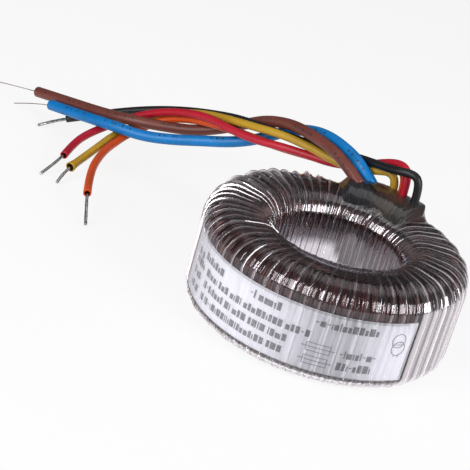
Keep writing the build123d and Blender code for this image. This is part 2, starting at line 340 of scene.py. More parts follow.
@dataclass
class PatchFinish(Finish):
    """Folded film over the lead ends, which show through it as soft fields of colour."""

    name: str = "patch_film"
    copper: Colour = (0.050, 0.014, 0.016, 1.0)
    olive: Colour = (0.022, 0.021, 0.018, 1.0)
    brown: Colour = (0.042, 0.030, 0.022, 1.0)
    black: Colour = (0.010, 0.009, 0.012, 1.0)
    painted_sheen: Colour = (0.075, 0.065, 0.075, 1.0)

    def dress(self) -> None:
        """Dark glossy film with a field of each colour along it, and streaks on its folds that
        carry a painted sheen.
        """
        across = self.add("SeparateXYZ", {0: self.coordinates("UV")})[0]
        wander = self.noise(self.coordinates("UV", (3, 2, 1)), 2.0)
        along = self.math("ADD", across, self.math("MULTIPLY", wander, 0.25))
        colour = self.copper
        for next_colour, low, high in (
            (self.olive, 0.18, 0.40), (self.brown, 0.45, 0.62), (self.black, 0.72, 0.92)
        ):
            colour = self.mix(self.ramp(along, low, high), colour, next_colour)
        streaks = self.noise(self.coordinates("UV", (34, 3, 1)), 1.0, 4.0)
        # Painted sheen: a pale grey along the streaks.
        colour = self.mix(self.ramp(streaks, 0.54, 0.84), colour, self.painted_sheen)
        self.bump(streaks, 0.9, 0.9 * MM)
        self.set(Base_Color=colour, Roughness=0.17, Specular_IOR_Level=0.5)
        self.set(Coat_Weight=0.7, Coat_Roughness=0.06)


@dataclass
class EnamelFinish(Finish):
    """Enamelled copper wire."""

    light: Colour = (0.125, 0.026, 0.026, 1.0)
    dark: Colour = (0.009, 0.005, 0.006, 1.0)

    def dress(self) -> None:
        """Copper under a varnish, darker and lighter along its length."""
        patchy = self.noise(self.coordinates(), 190.0, 3.0)
        self.two_tone(patchy, 0.35, 0.68, self.dark, self.light)
        self.set(Metallic=0.55, Roughness=0.30, Coat_Weight=0.6, Coat_Roughness=0.12)


@dataclass
class LayerFinish(Finish):
    """A wound layer seen between the outer turns: fine wires under tape."""

    wires: float = 330.0
    light: Colour = (0.070, 0.016, 0.016, 1.0)
    dark: Colour = (0.012, 0.007, 0.010, 1.0)

    def dress(self) -> None:
        """Stripes that follow the azimuth, as many as there are wires round the ring."""
        wave = self.math("SINE", self.math("MULTIPLY", self.azimuth(), self.wires))
        self.two_tone(wave, -0.6, 0.9, self.dark, self.light)
        self.bump(wave, 0.4, 0.1 * MM)
        self.set(Roughness=0.35)


@dataclass
class CoreFinish(Finish):
    """Steel strip wound on itself."""

    name: str = "core_steel"
    strip: float = 0.3 * MM
    light: Colour = (0.4, 0.4, 0.42, 1.0)
    dark: Colour = (0.16, 0.16, 0.17, 1.0)

    def dress(self) -> None:
        """Grey steel whose strip edges show as rings round the axis."""
        x, y, _ = self.add("SeparateXYZ", {0: self.coordinates()})
        squares = self.math("ADD", self.math("MULTIPLY", x, x), self.math("MULTIPLY", y, y))
        radius = self.math("SQRT", squares)
        rings = self.math("SINE", self.math("MULTIPLY", radius, TURN / self.strip))
        self.two_tone(rings, -1, 1, self.dark, self.light)
        self.set(Metallic=0.9, Roughness=0.38)


@dataclass
class LabelFinish(Finish):
    """Pale grey printed strip under film."""

    name: str = "label_paper"
    pale: Colour = (0.80, 0.80, 0.85, 1.0)
    shade: Colour = (0.70, 0.705, 0.76, 1.0)

    def dress(self) -> None:
        """Pale strip with soft upright bands of painted shade where the windings under it stand
        proud.
        """
        bands = self.noise(self.add("CombineXYZ", {0: self.azimuth()})[0], 26.0, 3.0, 0.7)
        self.two_tone(bands, 0.35, 0.70, self.pale, self.shade)
        self.set(Roughness=0.5)


@dataclass
class InkFinish(Finish):
    """Grey printing ink."""

    name: str = "label_ink"
    ink: Colour = (0.20, 0.20, 0.225, 1.0)
    faint: Colour = (0.33, 0.33, 0.36, 1.0)

    def dress(self) -> None:
        """Ink that is a little uneven."""
        uneven = self.noise(self.coordinates(), 1500.0)
        self.two_tone(uneven, 0.35, 0.8, self.ink, self.faint)
        self.set(Roughness=0.6)


@dataclass
class SleeveFinish(Finish):
    """Extruded lead sleeve in one colour, with or without a row of faint print flecks."""

    colour: Colour
    flecks: bool
    print_colour: Colour = (0.02, 0.02, 0.025, 1.0)

    def shaded(self, share: float) -> Colour:
        """The sleeve's colour, darkened to a share of its light."""
        return tuple(share * c for c in self.colour[:3]) + (1.0,)

    def dress(self) -> None:
        """Satin plastic with fine drawn lines, and painted shade inside its cut end."""
        around, along, _ = self.add("SeparateXYZ", {0: self.add("TexCoord")["UV"]})
        patchy = self.noise(self.coordinates(), 95.0, 3.0)
        body = self.mix(self.ramp(patchy, 0.30, 0.75), self.colour, self.shaded(0.72))
        if self.flecks:
            stretched = self.add("CombineXYZ", {0: self.math("MULTIPLY", along, 900.0)})[0]
            dashes = self.ramp(self.noise(stretched, 1.0, 1.0), 0.50, 0.56)
            words = self.math("GREATER_THAN", self.math("PINGPONG", along, 11 * MM), 4.5 * MM)
            near = self.math("ABSOLUTE", self.math("SUBTRACT", around, 0.38))
            row = self.math("MULTIPLY", dashes, self.math("LESS_THAN", near, 0.075))
            mark = self.math("MULTIPLY", row, words)
            body = self.mix(self.math("MULTIPLY", mark, 0.75), body, self.print_colour)
        # Painted shade inside the cut end's mouth.
        body = self.mix(self.attribute("inside"), body, self.shaded(0.22))
        self.bump(self.noise(self.coordinates("UV", (60, 250, 1)), 1.0), 0.25, 0.06 * MM)
        self.set(Base_Color=body, Roughness=0.40, Specular_IOR_Level=0.36)


@dataclass
class TinnedFinish(Finish):
    """Solder-coated copper."""

    name: str = "tinned_copper"
    bright: Colour = (0.50, 0.50, 0.51, 1.0)
    dull: Colour = (0.16, 0.15, 0.15, 1.0)

    def dress(self) -> None:
        """Bright metal with dull patches of flux and runs of solder."""
        patchy = self.noise(self.coordinates(), 900.0, 3.0)
        self.two_tone(patchy, 0.4, 0.75, self.bright, self.dull)
        self.bump(patchy, 0.5, 0.2 * MM)
        self.set(Metallic=1.0, Roughness=0.26)


@dataclass
class TapeFinish(Finish):
    """Pale insulating tape on the core."""

    name: str = "core_tape"
    light: Colour = (0.78, 0.72, 0.6, 1.0)
    dark: Colour = (0.62, 0.55, 0.42, 1.0)

    def dress(self) -> None:
        """Milky tape with faint patches."""
        patchy = self.noise(self.coordinates(), 300.0, 3.0)
        self.set(Base_Color=self.mix(patchy, self.dark, self.light), Roughness=0.4)


@dataclass
class TableFinish(Finish):
    """White table that shows white to the eye and in reflections, and keeps a soft shadow."""

    name: str = "table"
    white: Colour = (0.86, 0.86, 0.86, 1.0)
    glow: float = 0.85

    def dress(self) -> None:
        """Plain surface, mixed with a glow for what the camera, mirrors and clear film see."""
        self.set(Base_Color=self.white, Roughness=0.7)
        rays = self.add("LightPath")
        seen = rays["Is Camera Ray"]
        for kind in ("Is Glossy Ray", "Is Transmission Ray"):
            seen = self.math("MAXIMUM", seen, rays[kind])
        share = self.math("MULTIPLY", seen, self.glow)
        light = self.add("Emission", {"Strength": 1.0})[0]
        blend = self.add("MixShader", {0: share, 1: self.surface.outputs[0], 2: light})[0]
        self.put(self.tree.nodes["Material Output"].inputs["Surface"], blend)


# ---------------------------------------------------------------- ring


@dataclass(frozen=True)
class RingSection:
    """Rounded section of one wound surface: its radii, heights and corner rounds, in metres."""

    bore: float
    rim: float
    bottom: float
    top: float
    rim_round: tuple[float, float]
    foot_round: tuple[float, float]
    bore_round: tuple[float, float]

    def path(self, flats: tuple[int, int, int, int], corner: int) -> tuple[np.ndarray, ...]:
        """Points once round the section, from the rim's foot up and over to the bore.

        Each corner is a quarter ellipse, centre plus radii times cosine and sine, and each flat
        between two corners is divided evenly.

        Args:
            flats: divisions of the rim, the top, the bore and the underside.
            corner: divisions of each corner.

        Returns:
            Radius, height, and the outward normal's radial and upward parts.
        """
        a, b = self.rim_round
        c, d = self.bore_round
        e, f = self.foot_round
        corners = [
            (self.rim - e, self.bottom + f, e, f, -0.5),
            (self.rim - a, self.top - b, a, b, 0.0),
            (self.bore + c, self.top - d, c, d, 0.5),
            (self.bore + c, self.bottom + d, c, d, 1.0),
        ]
        arcs = []
        for r0, z0, ar, az, start in corners:
            angle = math.pi * (start + 0.5 * np.arange(corner + 1) / corner)
            nr, nz = np.cos(angle) / ar, np.sin(angle) / az
            size = np.hypot(nr, nz)
            place = [r0 + ar * np.cos(angle), z0 + az * np.sin(angle)]
            arcs.append(np.array(place + [nr / size, nz / size]))
        runs = []
        for arc, after, count in zip(arcs, arcs[1:] + arcs[:1], flats):
            share = np.arange(1, count) / count
            flat = np.repeat(arc[:, -1:], count - 1, axis=1)
            flat[:2] += (after[:2, :1] - flat[:2]) * share
            runs += [arc, flat]
        return tuple(np.concatenate(runs, axis=1))


FILM_SECTION = RingSection(
    bore=23 * MM,
    rim=47 * MM,
    bottom=0.0,
    top=37.66 * MM,
    rim_round=(9.5 * MM, 8.5 * MM),
    foot_round=(8 * MM, 6.5 * MM),
    bore_round=(9 * MM, 8 * MM),
)
PATCH_SECTION = replace(FILM_SECTION, bore=23.2 * MM, rim=47.2 * MM, top=37.8 * MM)
STRAND_SECTION = RingSection(
    bore=25.63 * MM,
    rim=45.86 * MM,
    bottom=1.48 * MM,
    top=36.52 * MM,
    rim_round=(8.7 * MM, 7.7 * MM),
    foot_round=(6.4 * MM, 5.2 * MM),
    bore_round=(7.6 * MM, 7.6 * MM),
)


@dataclass
class FilmWrap:
    """Clear film wound over the ring: it drapes over the strands and overlaps in sixty laps.

    Its points lie in rows round the section and columns round the ring. Places round the ring
    and their widths are in degrees, label_heights in millimetres and other lengths in metres;
    the wrinkle is a share of the edge.
    """

    laps: int = 60
    ribs: int = 124
    skew: float = 6 * MM
    edge: float = 0.46 * MM
    rib: float = 0.30 * MM
    wrinkle_share: float = 0.12
    fins_at: float = 126.0
    fins_width: float = 36.0
    fold: float = 1.5 * MM
    fold_at: float = 60.0
    fold_width: float = 7.0
    label_depth: float = 0.33 * MM
    label_turns: tuple[float, float] = (190.0, 316.5)
    label_heights: tuple[float, float] = (4.2, 28.6)
    patch_turns: tuple[float, float] = (43.0, 103.0)
    even_columns: int = 22
    edge_columns: tuple[float, ...] = (0.93, 0.965, 0.985, 1.0)
    seed: int = 4

    def __post_init__(self) -> None:
        """Work out where the points lie.

        A point at radius r in a column of azimuth t lies at t plus the arcsine of skew over r.
        """
        self.columns = np.r_[np.linspace(0, 0.88, self.even_columns), self.edge_columns]
        start = TURN * np.arange(self.laps)[:, None] / self.laps
        self.azimuth = (start + TURN / self.laps * self.columns[None, :]).ravel()
        self.turn = self.azimuth[None, :]
        section = FILM_SECTION.path((6, 6, 6, 4), 10)
        self.radius, self.level, self.out, self.up = (v[:, None] for v in section)
        self.place = self.turn + np.arcsin(self.skew / self.radius)
        self.degrees = np.degrees(self.place) % 360
        self.high = self.level / MM
        self.side_wall = self.out > 0.9
        self.rim_side = rise(self.radius, 28 * MM, 16 * MM)
        first, last = self.label_turns
        low, top = self.label_heights
        across = rise(self.degrees, first, 1.5) * rise(self.degrees, last, -1.0)
        self.label = across * (rise(self.high, low, 1.0) * rise(self.high, top, -1.2))
        self.label = self.label * self.side_wall

    def lap_profile(self) -> np.ndarray:
        """Height of the laps round the ring.

        Inside a lap the film rises as a power of the way across it, curls up in a narrow lip
        and drops at its free edge. A smaller edge of the lap below breaks the rise.

        Returns:
            Height as a share of the edge, for each column.
        """
        rng = np.random.default_rng(self.seed)
        across = self.columns[None, :]
        spreads = ((0.28, 0.66), (0.12, 0.50), (0.7, 1.6), (0.35, 1.35))
        draws = [rng.uniform(low, high, (self.laps, 1)) for low, high in spreads]
        break_at, step, power, tall = draws
        broken = np.where(across > break_at, -step, 0.0) * (1 - across)
        lip = 0.35 * bell(across, 0.955, 0.022)
        minor = 0.30 * bell(across - break_at, -0.02, 0.03)
        height = tall * (across**power + broken + lip + minor)
        height[:, -1] = 0.0
        return height.ravel()

    def rib_profile(self) -> np.ndarray:
        """Height of the film over the strands: a rounded rib over each, with uneven widths.

        A rib's height is its own size times the sine of the way across it, to the power 0.6.

        Returns:
            Height as a share of the tallest rib, for each column.
        """
        rng = np.random.default_rng(self.seed + 1)
        widths = rng.uniform(0.55, 1.45, self.ribs)
        edges = np.r_[0, np.cumsum(widths)] / widths.sum() * TURN
        after = np.searchsorted(edges, self.azimuth, side="right")
        which = np.clip(after - 1, 0, self.ribs - 1)
        across = (self.azimuth - edges[which]) / (edges[which + 1] - edges[which])
        size = rng.uniform(0.45, 1.0, self.ribs)[which]
        return size * np.sin(math.pi * np.clip(across, 0, 1)) ** 0.6

    def lift(self) -> np.ndarray:
        """Height of the film off the section, along its normal.

        It is the laps' and ribs' heights times their weights, which are greatest at the rim,
        and a fine wrinkle and one fold in the bore. The laps stand up as fins at the back, and
        lie flat under the patch and over the label, where the film is drawn in.

        Returns:
            Height in metres of each point.
        """
        back = bell(away(self.turn, self.fins_at), 0, self.fins_width)
        fins = 1 + 2.8 * back * self.rim_side * (self.level > 12 * MM)
        laps = self.edge * (0.55 + 0.45 * self.rim_side) * self.lap_profile()[None, :] * fins
        laps = laps * rise(self.level, 0, 4 * MM)
        ribs = self.rib * (0.50 + 0.50 * self.rim_side) * self.rib_profile()[None, :]
        ribs = ribs * (1 - 0.65 * back)
        first, last = self.patch_turns
        under = rise(self.degrees, first, 4) * rise(self.degrees, last, -4)
        flat = 1 - 0.85 * (under * (self.level > 29 * MM) * (self.radius > 26 * MM))
        wrinkle = self.edge * self.wrinkle_share * smooth_noise(self.turn * 57 / math.pi, 3, 3)
        film = laps * flat * (1 - 0.75 * self.label) + ribs * flat * (1 - 0.85 * self.label)
        start = self.label_turns[0]
        before = rise(self.degrees - start, -9, 9) * (self.degrees < start + 1.5)
        drawn_in = self.label_depth * np.maximum(self.label, before * self.side_wall)
        fold = self.fold * bell(away(self.turn, self.fold_at), 0, self.fold_width)
        fold = fold * bell(self.radius, 25 * MM, 5 * MM) * rise(self.level, 17 * MM, 10 * MM)
        return film + wrinkle - drawn_in + fold

    def layer_share(self) -> np.ndarray:
        """Share of light that the piled-up film mirrors.

        It is small on the faces and over the label, larger on the bare side wall, and largest
        low in the bore, where the laps bunch up below a pleated edge.

        Returns:
            The share at each point.
        """
        degrees, high, first = self.degrees, self.high, self.label_turns[0]
        patchy = patches(self.place * 60 / math.pi, 8, 3)
        blotch = patches(self.place * 14 / math.pi + high / 30, 17, 2)
        broad = patches(self.place * 24 / math.pi, 9, 2)
        turns = [0, 62, 73, 80.4, 88, 97, 112, 150, 175, 200, 360]
        pleats = [8, 15, 13.5, 11.5, 17.5, 21, 21.5, 19.5, 10, 6, 6]
        edge = np.interp(degrees, turns, pleats)
        below = np.clip((edge - high + 1.2 * (blotch - 0.5)) / 1.1 + 0.5, 0, 1)
        bore = rise(self.radius, 28 * MM, -4.5 * MM)
        bore = bore * (0.07 + 0.11 * patchy + below * (0.72 - 0.10 * patchy))
        foot = rise(high, 6, -2)
        side = np.clip(self.out, 0, 1) ** (3 - 2 * foot)
        on_label = (degrees > first) & (degrees < self.label_turns[1])
        beside = 1 - (on_label & (high > self.label_heights[0]))
        bare = side * (0.12 + 0.34 * patchy + 0.32 * broad) * beside
        bare = bare * (1 - 0.8 * rise(degrees, 150, 25) * (degrees < first))
        end_lap = 0.72 * bell(degrees - first, -0.6, 1.7) * (degrees < first)
        bare = bare + end_lap * side * (high > 4.8) * (high < 28)
        layers = 0.012 + 0.045 * patchy + bore + bare + 0.30 * foot * (0.4 + patchy)
        return np.clip(layers * (1 - 0.65 * self.label), 0, 0.93)

    def milky_and_sheen_share(self) -> np.ndarray:
        """Share of milky film: laps' free edges, which are partly painted highlights, a painted
        sheen on some laps, and the label's end.

        Returns:
            The share at each point.
        """
        rng = np.random.default_rng(self.seed + 2)
        samples, bearing = len(self.columns), np.degrees(self.turn) % 360
        strong = np.repeat(rng.uniform(0.50, 1.0, self.laps), samples)[None, :]
        sheen = np.repeat(rng.uniform(0, 1, self.laps) ** 1.5, samples)[None, :]
        # By bearing: the painted highlights on the lap edges are weakest at the front, and the
        # painted sheen lies on the right and back laps.
        turns = [0, 60, 100, 150, 200, 245, 268, 300, 330, 360]
        clear = [1.0, 1.0, 1.0, 0.9, 0.60, 0.45, 0.20, 0.45, 1.0, 1.0]
        grey = [0.15, 0.13, 0.17, 0.16, 0.02, 0.0, 0.0, 0.02, 0.13, 0.15]
        strong = strong * np.interp(bearing, turns, clear)
        painted_sheen = sheen * np.interp(bearing, turns, grey)
        edge = np.tile(bell(self.columns, 0.93, 0.105), self.laps)[None, :]
        along = np.clip(0.7 + 0.5 * smooth_noise(self.high / 9 + self.turn * 60, 31, 2), 0, 1)
        milky_and_sheen = np.clip(edge * strong + painted_sheen, 0, 1) * along * (1 - 0.9 * self.label)
        first = self.label_turns[0]
        near = rise(self.degrees - first, -24, 14) * (self.degrees < first + 0.6)
        piled = 0.85 * near * ((self.high > 4.5) * (self.high < 28.5) * self.side_wall)
        return np.maximum(milky_and_sheen * (0.35 + 0.65 * self.rim_side), piled)

    def build(self) -> bpy.types.Object:
        """Move each point out by its lift.

        Returns:
            The closed film.
        """
        lift = self.lift()
        r = self.radius + self.out * lift
        z = np.maximum(self.level + self.up * lift, 0.0)
        points = polar(r, self.turn + np.arcsin(np.clip(self.skew / r, -1, 1)), z)
        rows, columns = r.shape
        uv = stacked(self.turn / TURN, np.arange(rows)[:, None] / rows)
        faces = grid_faces(rows, columns, True, True)
        shares = {"layers": self.layer_share(), "milky_and_sheen": self.milky_and_sheen_share()}
        piece = make_piece("outer_film", points, faces, FilmFinish().material, uv=uv, **shares)
        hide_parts("outer_wrap")
        return piece


def ring_of_points(
    centre: np.ndarray, radii: Any, across: np.ndarray, beside: np.ndarray, sides: int
) -> np.ndarray:
    """Circles round a line: radius times cosine t across it plus sine t beside it.

    Args:
        centre: points of the line.
        radii: one radius, or one for each point.
        across: a crosswise direction at each point.
        beside: the other crosswise direction.
        sides: points in a circle.

    Returns:
        Points as circles by sides.
    """
    t = np.linspace(0, TURN, sides, endpoint=False)
    circle = np.cos(t)[None, :, None] * across[:, None]
    circle = circle + np.sin(t)[None, :, None] * beside[:, None]
    return centre[:, None] + np.reshape(radii, (-1, 1, 1)) * circle


@dataclass
class SecondaryStrands:
    """One secondary: pairs of round strands that go round the ring's section turn by turn."""

    name: str
    node: str
    first_turn: float
    turns: int = 41
    strand: float = 0.85 * MM
    strands: int = 2
    sides: int = 6
    section: RingSection = STRAND_SECTION

    def build(self, material: bpy.types.Material) -> bpy.types.Object:
        """Sweep a round section along each strand's whole path.

        The path goes up the rim, over the top, down the bore and back underneath. Its azimuth
        grows by one pitch on the way over the top and stays as it is elsewhere.

        Args:
            material: the enamel.

        Returns:
            The strands in one piece.
        """
        radius, level, _, _ = self.section.path((3, 4, 3, 4), 5)
        top = self.section.top
        rim_top = self.section.rim - self.section.rim_round[0]
        bore_top = self.section.bore + self.section.bore_round[0]
        passed = np.arange(len(radius)) >= np.argmax(level >= top - 1e-9)
        gone = np.where(passed, rise(radius, rim_top, bore_top - rim_top), 0.0)
        gone = np.where(passed & (level < top - 10 * MM), 1.0, gone)
        turn, step = np.divmod(np.arange(self.turns * len(radius)), len(radius))
        azimuth = math.radians(self.first_turn) + TURN / self.turns * (turn + gone[step])
        cos, sin = np.cos(azimuth), np.sin(azimuth)
        start = len(radius) // 3
        parts = []
        for strand in range(self.strands):
            side = (strand - (self.strands - 1) / 2) * self.strand
            r = radius[step]
            line = np.stack([r * cos - side * sin, r * sin + side * cos, level[step]], -1)[start:]
            tangent = unit(np.gradient(line, axis=0))
            beside = np.stack([-sin, cos, np.zeros(len(step))], -1)[start:]
            beside = unit(beside - (beside * tangent).sum(-1, keepdims=True) * tangent)
            outward = np.cross(tangent, beside)
            tube = ring_of_points(line, self.strand / 2, beside, outward, self.sides)
            parts.append((tube, grid_faces(len(line), self.sides, False, True)))
        piece = make_piece(self.name, *join_parts(parts), material)
        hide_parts(self.node)
        return piece


@dataclass
class ExitPatch:
    """Folded film over the place where the leads come out.

    It goes from side_level on the side wall over the top to hole_radius, above hole_level. Its
    edges are sunk into the film and its floor lies deeper. The crown is in millimetres.
    """

    start: float = 46.0
    sweep: float = 54.0
    ends: float = 0.14
    side_level: float = 33 * MM
    hole_radius: float = 26.5 * MM
    hole_level: float = 30 * MM
    rows: int = 46
    columns: int = 90
    sunk: float = 0.35 * MM
    floor: float = 0.95 * MM
    crown: tuple[tuple[float, float], ...] = (
        (46.8, 33.8), (47.2, 36.8), (47.0, 38.8), (46.0, 40.2), (44.2, 41.0), (41.5, 41.4),
        (38.0, 41.5), (34.4, 41.1), (31.2, 40.1), (28.6, 38.2), (25.9, 35.2),
    )
    section: RingSection = PATCH_SECTION

    def build(self) -> bpy.types.Object:
        """A crown over part of the ring's surface, closed by a floor just inside the film.

        Its section goes from the ring's own, at both ends of the sweep, to the crown's, which
        covers the roots of the sleeves. A few soft folds run across it.

        Returns:
            The closed patch.
        """
        rows, columns = self.rows, self.columns
        ring = np.stack(self.section.path((7, 14, 7, 4), 14), -1)
        first = int(np.argmax(ring[:, 1] > self.side_level))
        last = int(np.argmax((ring[:, 0] < self.hole_radius) & (ring[:, 1] > self.hole_level)))
        ring = ring[first : last + 1]
        gone = distance_along(ring[:, :2])
        a, b = np.linspace(0, 1, rows)[:, None], np.linspace(0, 1, columns)[None, :]
        ring = read_off(a[:, 0], gone / gone[-1], ring)
        radius, level, out, up = (v[:, None] for v in ring.T)
        crown = np.array(self.crown) * MM
        crown = read_off(a[:, 0], np.linspace(0, 1, len(crown)), crown)
        for _ in range(4):
            crown[1:-1] = (crown[:-2] + 2 * crown[1:-1] + crown[2:]) / 4
        first_end = self.ends + 0.24 * np.clip(1 - a / 0.45, 0, 1)
        share = np.clip(np.minimum(b / first_end, (1 - b) / self.ends), 0, 1)
        share = share * share * (3 - 2 * share)
        folds = 0.30 * smooth_noise(b * 2.6 + a * 1.2, 21, 2) + 0.08 * smooth_noise(b * 8 + a, 5, 2)
        folds = folds * MM * np.sin(math.pi * a)
        turn = np.radians(self.start + self.sweep * b)
        r0, z0 = radius - out * self.sunk, level - up * self.sunk
        crown_r, crown_z = crown[:, :1], crown[:, 1:]
        top = polar(r0 + share * (crown_r - r0), turn, z0 + share * (crown_z + folds - z0))
        floor = polar(radius - out * self.floor, turn, level - up * self.floor)
        sheet = grid_faces(rows, columns, False, False)
        number = np.arange(rows * columns).reshape(rows, columns)
        sides = [number[0], number[1:, -1], number[-1, -2::-1], number[-2:0:-1, 0]]
        edge = np.concatenate(sides)
        after = np.roll(edge, -1)
        skirt = np.stack([edge + number.size, after + number.size, after, edge], -1)
        points = np.concatenate([top.reshape(-1, 3), floor.reshape(-1, 3)])
        faces = np.concatenate([sheet, sheet[:, ::-1] + number.size, skirt])
        uv = np.tile(stacked(b + 0.2 * a, a).reshape(-1, 2), (2, 1))
        piece = make_piece("exit_patch_film", points, faces, PatchFinish().material, uv=uv)
        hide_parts("lead_exit_patch")
        return piece


# ---------------------------------------------------------------- label


@dataclass
class LabelPrint:
    """Generic print on the rating label: ruled edges, bars in place of words, plain symbols.

    Azimuths are in degrees, and heights, widths and lengths in millimetres.
    """

    radius: float = 46.53 * MM
    stroke: float = 0.28
    thin: float = 0.22
    ends: tuple[float, float] = (197.6, 311.5)
    rules: tuple[tuple[float, float], ...] = ((27.15, 0.16), (26.75, 0.12), (5.4, 0.16))
    headings: tuple[tuple[float, ...], ...] = (
        (200.0, 207.0, 20.0, 22.4), (209.5, 226.0, 21.6, 24.2),
        (241.6, 256.4, 22.2, 25.2, 1.7), (271.6, 300.0, 22.1, 24.9),
    )
    row_turns: Place = (200.0, 210.5, 213.6)
    rows: tuple[Place, ...] = ((17.0, 19.6, 272.8), (12.6, 15.2, 263.6), (8.1, 10.6, 263.0))
    fuse_turn: float = 270.6
    fuses: tuple[float, ...] = (12.6, 7.8)
    rating_turns: tuple[float, float] = (284.8, 300.8)
    ratings: tuple[tuple[float, float], ...] = ((12.5, 15.4), (7.9, 10.8))
    seed: int = 12
    parts: list[tuple[np.ndarray, np.ndarray]] = field(default_factory=list)

    def degrees(self, length: float) -> float:
        """Angle that a length takes up round the label."""
        return math.degrees(length * MM / self.radius)

    def lay(self, flat: np.ndarray) -> None:
        """Roll two rows of points, given as azimuth and height, onto the label as a strip."""
        points = polar(self.radius, np.radians(flat[..., 0]), flat[..., 1] * MM)
        self.parts.append((points, grid_faces(2, flat.shape[1], False, False)))

    def bar(self, start: float, low: float, end: float, high: float) -> None:
        """Add a filled box from one azimuth and height to another."""
        a = np.linspace(start, end, max(2, int((end - start) / 1.5) + 2))
        self.lay(stacked(a[None, :], np.array([[low], [high]])))

    def line(self, points: list[tuple[float, float]], width: float) -> None:
        """Add a stroke of even width.

        Args:
            points: azimuth and height of each of its corners.
            width: how wide it is.
        """
        scale = np.array([self.degrees(1.0), 1.0])
        p = np.array(points, float)
        for a, b in zip(p, p[1:]):
            pieces = max(2, int(abs(b[0] - a[0]) / 1.5) + 2)
            middle = a + (b - a) * np.linspace(0, 1, pieces)[:, None]
            step = (b - a) / scale
            side = np.array([-step[1], step[0]]) / np.linalg.norm(step) * (width / 2) * scale
            self.lay(np.stack([middle - side, middle + side]))

    def circle(self, azimuth: float, height: float, radius: float = 2.6) -> None:
        """Add a ring of even stroke.

        Args:
            azimuth: where its centre is.
            height: how high its centre is.
            radius: its own radius.
        """
        turn = np.linspace(0, TURN, 25)
        x = azimuth + self.degrees(radius) * np.cos(turn)
        self.line(list(zip(x, height + radius * np.sin(turn))), self.stroke)

    def words(self, start: float, end: float, low: float, high: float, bold: float = 1.0) -> None:
        """Add a row of plain blocks and dashes in place of a line of print.

        Args:
            start: azimuth where it starts.
            end: azimuth where it ends at the latest.
            low: height of its foot.
            high: height of its tallest blocks.
            bold: share by which its blocks are wider than plain ones.
        """
        rng = np.random.default_rng(self.seed + len(self.parts))
        at = start
        while at < end - self.degrees(1.0):
            width = self.degrees(rng.choice([0.4, 1.1, 1.5, 1.9]) * bold)
            if rng.uniform() < 0.12:
                middle = (low + high) / 2
                self.bar(at, middle - 0.18, at + self.degrees(1.0), middle + 0.18)
                at += self.degrees(1.5)
                continue
            tall = (high - low) * rng.choice([0.72, 1.0, 1.0])
            self.bar(at, low, min(at + width, end), low + tall)
            at += width + self.degrees(0.45)
            if rng.uniform() < 0.15:
                at += self.degrees(0.8)

    def fuse(self, start: float, low: float) -> None:
        """Add a fuse symbol: a box with a wire through it.

        Args:
            start: azimuth of the box's first side.
            low: height of its foot.
        """
        end, high = start + 10.0, low + 3.0
        box = [(start, low), (end, low), (end, high), (start, high), (start, low)]
        self.line(box, self.thin)
        self.line([(start - 2.2, low + 1.5), (end + 2.2, low + 1.5)], self.thin)

    def build(self) -> bpy.types.Object:
        """Lay out the whole print and make one thin piece of it.

        Returns:
            The print.
        """
        first, last = self.ends
        for height, width in self.rules:
            self.line([(first, height), (last, height)], width)
        for heading in self.headings:
            self.words(*heading)
        name, name_end, value = self.row_turns
        for low, high, end in self.rows:
            self.words(name, name_end, low, high)
            self.words(value, end, low, high)
        for low in self.fuses:
            self.fuse(self.fuse_turn, low)
        for low, high in self.ratings:
            self.words(*self.rating_turns, low, high)
        for centre in ((309.0, 20.9), (309.6, 17.9)):
            self.circle(*centre)
        self.line([(306.4, 19.4), (312.2, 19.4)], self.thin)
        for turn in (308.4, 310.6):
            self.line([(turn, 14.6), (turn, 15.6)], self.thin)
        return make_piece("label_print", *join_parts(self.parts), InkFinish().material, False)


# ---------------------------------------------------------------- leads


class Role(Enum):
    """What a lead is for, which sets its sleeve and its bare end."""

    PRIMARY = "primary"
    SECONDARY = "secondary"


@dataclass(frozen=True)
class SleeveSize:
    """Sizes that go with a lead's role, in metres."""

    outside: float
    bore: float
    mouth: float
    wire: float


LINE_GAP = 0.9 * MM  # from one point of a lead's line to the next
SLEEVES = {
    Role.PRIMARY: SleeveSize(4.3 * MM, 3.1 * MM, 6.0 * MM, 0.4 * MM),
    Role.SECONDARY: SleeveSize(3.1 * MM, 2.1 * MM, 4.0 * MM, 1.3 * MM),
}


def spline_points(name: str, route: np.ndarray, resolution: int = 10) -> np.ndarray:
    """Points of the NURBS line of third order whose control points are the route.

    Args:
        name: a name for the passing curve.
        route: control points in metres.
        resolution: points made for each control point.

    Returns:
        Evenly spaced points along the line.
    """
    curve = bpy.data.curves.new(name, "CURVE")
    curve.dimensions = "3D"
    spline = curve.splines.new("NURBS")
    spline.points.add(len(route) - 1)
    spline.points.foreach_set("co", np.c_[route, np.ones(len(route))].ravel())
    spline.order_u = 3
    spline.use_endpoint_u = True
    spline.resolution_u = resolution
    holder = bpy.data.objects.new(name, curve)
    bpy.context.scene.collection.objects.link(holder)
    graph = bpy.context.evaluated_depsgraph_get()
    mesh = bpy.data.meshes.new_from_object(holder.evaluated_get(graph))
    line = np.zeros(len(mesh.vertices) * 3)
    mesh.vertices.foreach_get("co", line)
    bpy.data.objects.remove(holder)
    bpy.data.curves.remove(curve)
    bpy.data.meshes.remove(mesh)
    line = line.reshape(-1, 3)
    gone = distance_along(line)
    even = np.linspace(0, gone[-1], max(12, int(gone[-1] / LINE_GAP)))
    return read_off(even, gone, line)


def carried_frames(line: np.ndarray) -> tuple[np.ndarray, np.ndarray, np.ndarray]:
    """Tangents of a line and two crosswise directions that don't twist along it.

    Each first crosswise direction is the one before it, less its part along the tangent.

    Args:
        line: points of the line.

    Returns:
        Tangent and both crosswise directions at each point.
    """
    tangent = unit(np.gradient(line, axis=0))
    across = np.zeros_like(line)
    start = np.array([0.0, 0.0, 1.0]) if abs(tangent[0, 2]) < 0.9 else np.array([0.0, 1.0, 0.0])
    across[0] = unit(start - start @ tangent[0] * tangent[0])
    for k in range(1, len(line)):
        moved = across[k - 1] - across[k - 1] @ tangent[k] * tangent[k]
        across[k] = moved / np.linalg.norm(moved)
    return tangent, across, np.cross(tangent, across)


